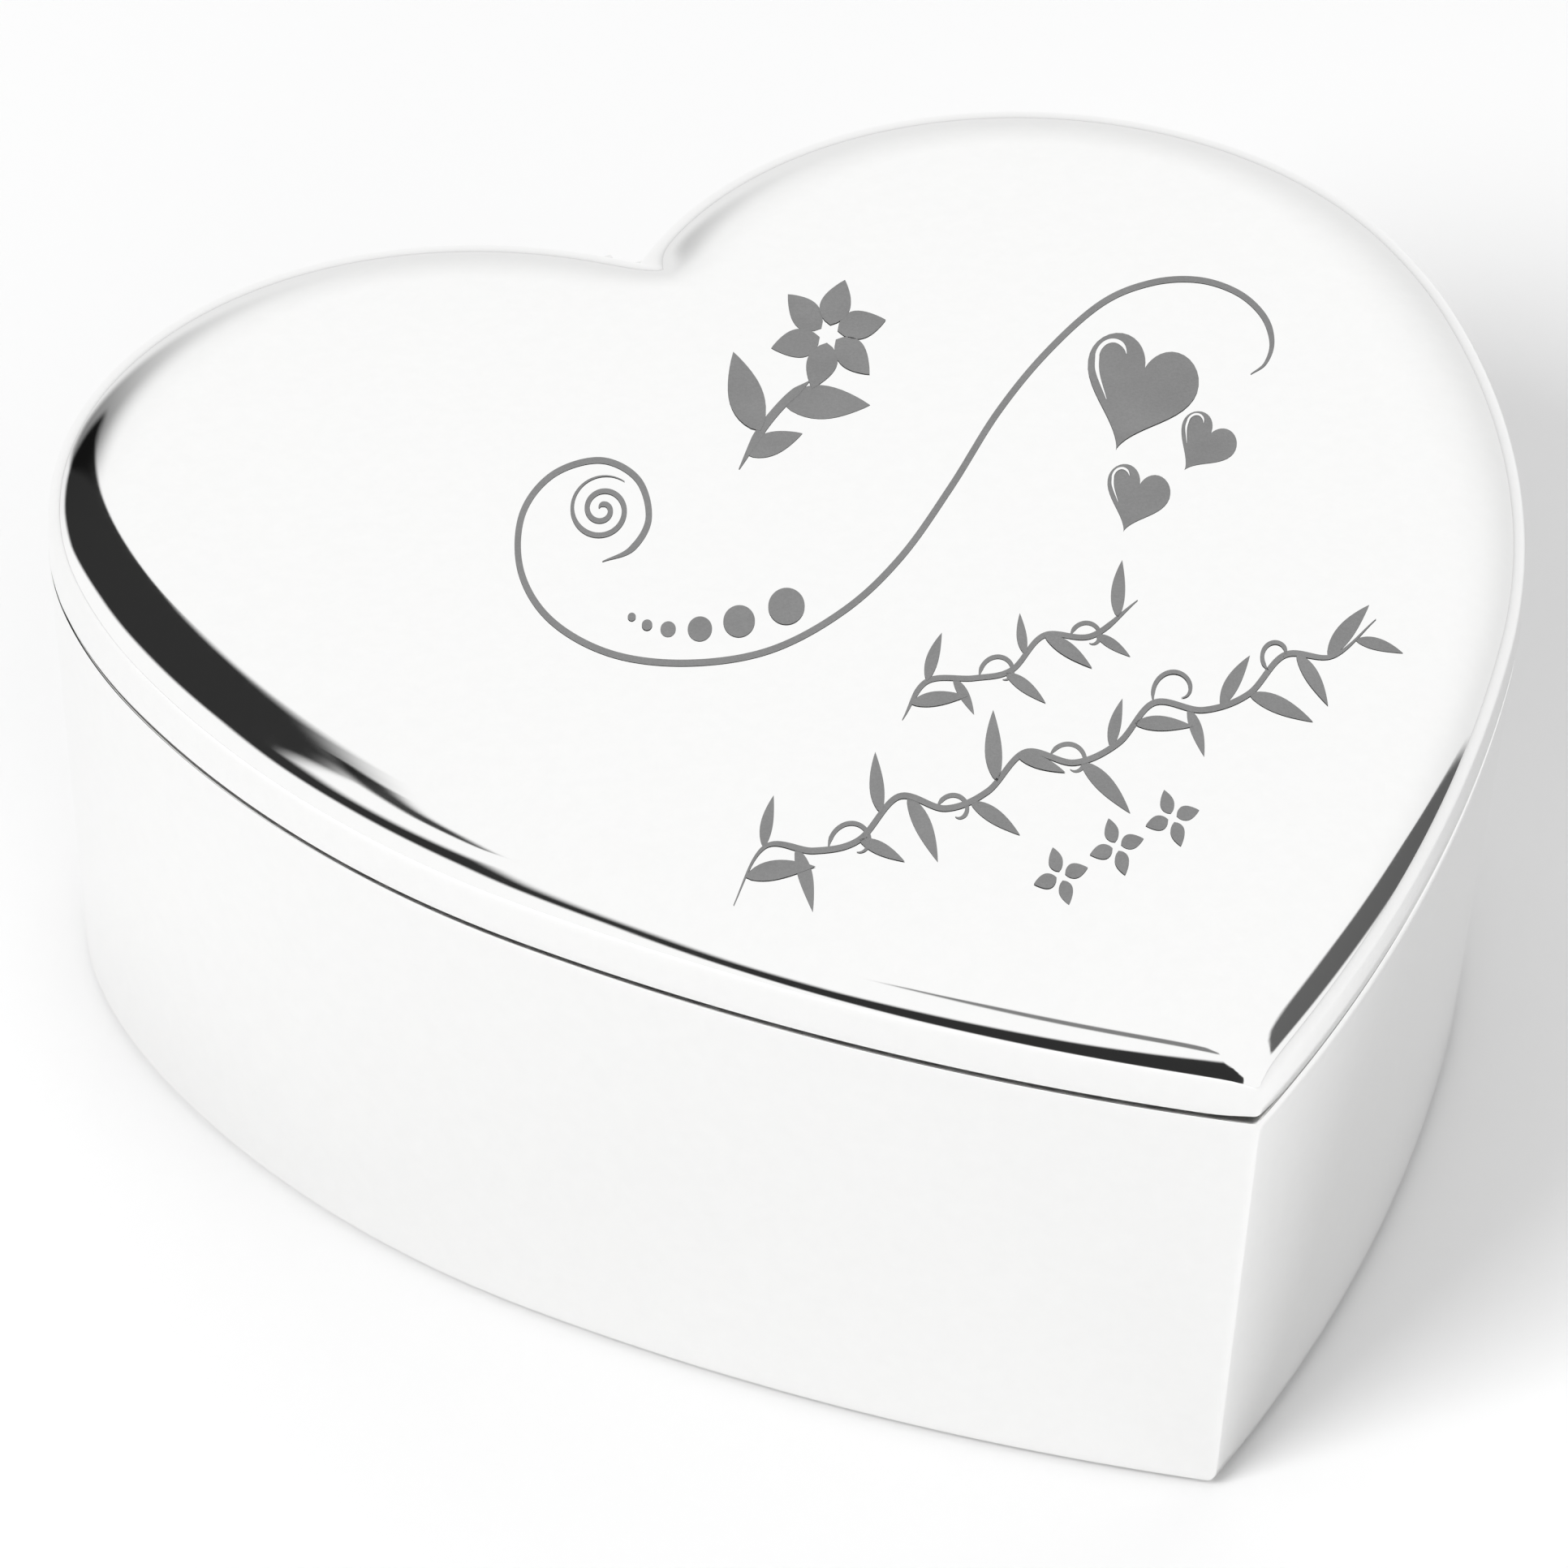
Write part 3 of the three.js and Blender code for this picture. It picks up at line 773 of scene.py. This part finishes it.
vine([(-1.9, 6.9), (-0.4, 4.6), (2.5, 4.4), (4.8, 3.9), (6.8, 1.8), (9.75, 1.8), (12.6, -0.4)],
     width=0.325, leaf_length=3.6, gap=1.65, seed=1)
vine([
    (-12, 17.1), (-10.1, 14.2), (-7.2, 14.5), (-4.5, 13.9), (-2.1, 11.4), (0.75, 12.1), (3.3, 11.1),
    (5.6, 8.8), (8.6, 9.4), (11.3, 8.2), (13.5, 5.8), (16.5, 6.2), (19.3, 5.2), (21.6, 2.8), (24.6, 2.8),
    (27.3, 0.5)],
    width=0.35, leaf_length=4.3, gap=2, seed=2)
for k in range(3):
    blossom(7.7 + 3.4 * k, 16 - 1.7 * k, 1.7, 4, 22)

marks = new_object("lid_engraving", mark_verts, mark_faces, "lid", MARK)
shines = new_object("lid_engraving_highlights", shine_verts, shine_faces, "lid", PLATE)

# ----------------------------------------------------------------- camera, set
# The view of the photograph, and where the part's origin lies in it: right, up and ahead, in millimetres.
PHOTO_VIEW = (-26.245, 37.633, 2.101)
ORIGIN_RIGHT, ORIGIN_UP, ORIGIN_AHEAD = 5.722, -15.693, 1000.31
LENS = 372.6708  # given, since the photograph doesn't fix the focal length
right, up, back = view_axes(*PHOTO_VIEW)
cam_data = bpy.data.cameras.new("camera")
cam_data.sensor_width = 36.0
cam_data.lens = LENS
cam_data.clip_end = 20.0
cam = bpy.data.objects.new("camera", cam_data)
bpy.context.scene.collection.objects.link(cam)
loc = (-ORIGIN_RIGHT * right - ORIGIN_UP * up + ORIGIN_AHEAD * back) * MM
cam.matrix_world = Matrix((
    (right.x, up.x, back.x, loc.x),
    (right.y, up.y, back.y, loc.y),
    (right.z, up.z, back.z, loc.z),
    (0, 0, 0, 1)))
bpy.context.scene.camera = cam

# ------------------------------------------------------------- floor and light
FLOOR_HALF = 6
floor_mat, nt, bsdf = new_material("pale_floor")
bsdf.inputs["Base Color"].default_value = (0.9, 0.9, 0.9, 1)
bsdf.inputs["Roughness"].default_value = 0.9
mesh = bpy.data.meshes.new("floor")
corners = [(x * FLOOR_HALF, y * FLOOR_HALF, 0) for x, y in ((-1, -1), (1, -1), (1, 1), (-1, 1))]
mesh.from_pydata(corners, [], [(0, 1, 2, 3)])
mesh.materials.append(floor_mat)
floor = bpy.data.objects.new("floor", mesh)
bpy.context.scene.collection.objects.link(floor)

scene = bpy.context.scene
scene.view_settings.view_transform = "Standard"
scene.view_settings.look = "None"
world = bpy.data.worlds.new("studio")
scene.world = world
world.use_nodes = True
wt = world.node_tree
wt.nodes.clear()
out = wt.nodes.new("ShaderNodeOutputWorld")
bg = wt.nodes.new("ShaderNodeBackground")
bg.inputs["Color"].default_value = (1, 1, 1, 1)
wt.links.new(bg.outputs[0], out.inputs[0])
tc = wt.nodes.new("ShaderNodeTexCoord")
sep = wt.nodes.new("ShaderNodeSeparateXYZ")
wt.links.new(tc.outputs["Generated"], sep.inputs[0])


def wmath(op, *values):
    """A sum in the world's shader, on numbers or on other nodes' outputs."""
    n = wt.nodes.new("ShaderNodeMath")
    n.operation = op
    for i, v in enumerate(values):
        if isinstance(v, (int, float)):
            n.inputs[i].default_value = v
        else:
            wt.links.new(v, n.inputs[i])
    return n.outputs[0]


def smooth_step(value, low, high):
    """0 below low, 1 above high, and a soft slope between."""
    n = wt.nodes.new("ShaderNodeMapRange")
    n.interpolation_type = "SMOOTHSTEP"
    n.clamp = True
    wt.links.new(value, n.inputs["Value"])
    n.inputs["From Min"].default_value = low
    n.inputs["From Max"].default_value = high
    return n.outputs["Result"]


elev = wmath("MULTIPLY", wmath("ARCSINE", sep.outputs["Z"]), 180 / math.pi)
azim = wmath("MULTIPLY", wmath("ARCTAN2", sep.outputs["Y"], sep.outputs["X"]), 180 / math.pi)
# The turned angle is 0 at -Y, which the tip points to, 90 at +X, 180 at +Y and 270 at -X.
turned = wmath("MODULO", wmath("ADD", azim, 450.0), 360.0)


def window(value, a0, a1, b0, b1):
    """1 from a1 to b0, falling softly to 0 at a0 and b1."""
    return wmath("MULTIPLY", smooth_step(value, a0, a1), wmath("SUBTRACT", 1.0, smooth_step(value, b0, b1)))


def dimmed(*shares):
    """The light left, when the product of the shares is taken away."""
    taken = shares[-1]
    for share in shares[-2::-1]:
        taken = wmath("MULTIPLY", share, taken)
    return wmath("SUBTRACT", 1.0, taken)


def curve(points, low, high):
    """A value that follows points of (turned angle, value) by straight lines."""
    n = wt.nodes.new("ShaderNodeFloatCurve")
    c = n.mapping.curves[0]
    pts = [(a / 360.0, (v - low) / (high - low)) for a, v in points]
    pts = [(0.0, pts[0][1])] + pts + [(1.0, pts[-1][1])]
    c.points[0].location = pts[0]
    c.points[1].location = pts[-1]
    for p in pts[1:-1]:
        c.points.new(*p)
    for p in c.points:
        p.handle_type = "VECTOR"
    n.mapping.update()
    wt.links.new(wmath("DIVIDE", turned, 360.0), n.inputs["Value"])
    return wmath("ADD", wmath("MULTIPLY", n.outputs[0], high - low), low)


LOWEST, HIGHEST = -20, 90
SIDE_FADE = 2


def screen(rows, soft_low, soft_high, depth, fade=SIDE_FADE):
    """A dark studio screen: rows of (turned angle, lowest, highest elevation)."""
    low = curve([(a, lo) for a, lo, hi in rows], LOWEST, HIGHEST)
    high = curve([(a, hi) for a, lo, hi in rows], LOWEST, HIGHEST)
    over = smooth_step(wmath("SUBTRACT", elev, low), -soft_low, soft_low)
    below = smooth_step(wmath("SUBTRACT", high, elev), -soft_high, soft_high)
    inside = window(turned, rows[0][0], rows[0][0] + fade, rows[-1][0] - SIDE_FADE, rows[-1][0])
    return dimmed(over, below, inside, depth)


# The screens stand where the photograph's dark bands ask for them, and were placed one by one.
# The first is behind and on the left, the second softens its start, and the next two are thin strips
# over it.
# The last is on the right.
SCREENS = [
    screen([
        (177, 14, 14), (181, 10, 18), (184, 8, 28), (187, 6, 46), (192, 6, 53), (198, 7, 57), (207, 11, 58),
        (216, 20, 58), (226, 26, 55), (231, 28, 50), (238, 31, 44), (247, 31, 44), (256, 33, 46),
        (265, 34, 49), (271, 34, 46), (280, 31, 40), (286, 27, 36), (292, 18, 30), (298, 10, 27),
        (304, 4, 29), (310, 1, 33), (316, 0, 44), (322, -2, 50), (329, 30, 34)], 2.5, 3.5, 0.97),
    screen([
        (158, 12, 16), (166, 10, 20), (174, 6, 22), (181, 2, 24), (186, 2, 24), (190, 8, 8)], 4.0, 6.0, 0.75,
        fade=26),
    screen([(208, 56, 57), (216, 56, 60), (228, 56, 60), (238, 57, 61), (248, 60, 61)], 1.2, 1.2, 0.95),
    screen([(285, 61, 62), (291, 61, 65), (300, 60, 66), (314, 60, 67), (322, 62, 64)], 1.2, 1.2, 0.78),
    screen([
        (78, 15, 15), (81, 11, 23), (84, 8, 29), (88, 4, 32), (93, -3, 31), (96, -8, 28), (99, -8, 20),
        (101, 0, 0)], 2.5, 2.2, 0.87),
]
# the studio is a little darker low down, on the right and behind
low_down = wmath("SUBTRACT", 1.0, smooth_step(elev, 5, 36))
back_shade = dimmed(low_down, window(turned, 70, 110, 178, 215), 0.17)
# A flag on the right acts on diffuse rays only. It shades the floor there, and the metal mirrors that floor but
# not the flag.
path = wt.nodes.new("ShaderNodeLightPath")
right_shade = dimmed(window(elev, 8, 30, 74, 86), window(turned, 20, 48, 112, 134),
                     path.outputs["Is Diffuse Ray"], 0.62)
STUDIO_BRIGHTNESS = 1.04
value = STUDIO_BRIGHTNESS
for f in [back_shade, right_shade, *SCREENS]:
    value = wmath("MULTIPLY", f, value)
wt.links.new(value, bg.inputs["Strength"])

# the key light, in front of the part, above it and to the left
light = bpy.data.lights.new("key", "AREA")
light.energy = 26
light.size = 0.8
key = bpy.data.objects.new("key", light)
scene.collection.objects.link(key)
key.location = (-1.45, -0.55, 1.3)
key.rotation_euler = (-key.location).to_track_quat("-Z", "Y").to_euler()
key.visible_glossy = False
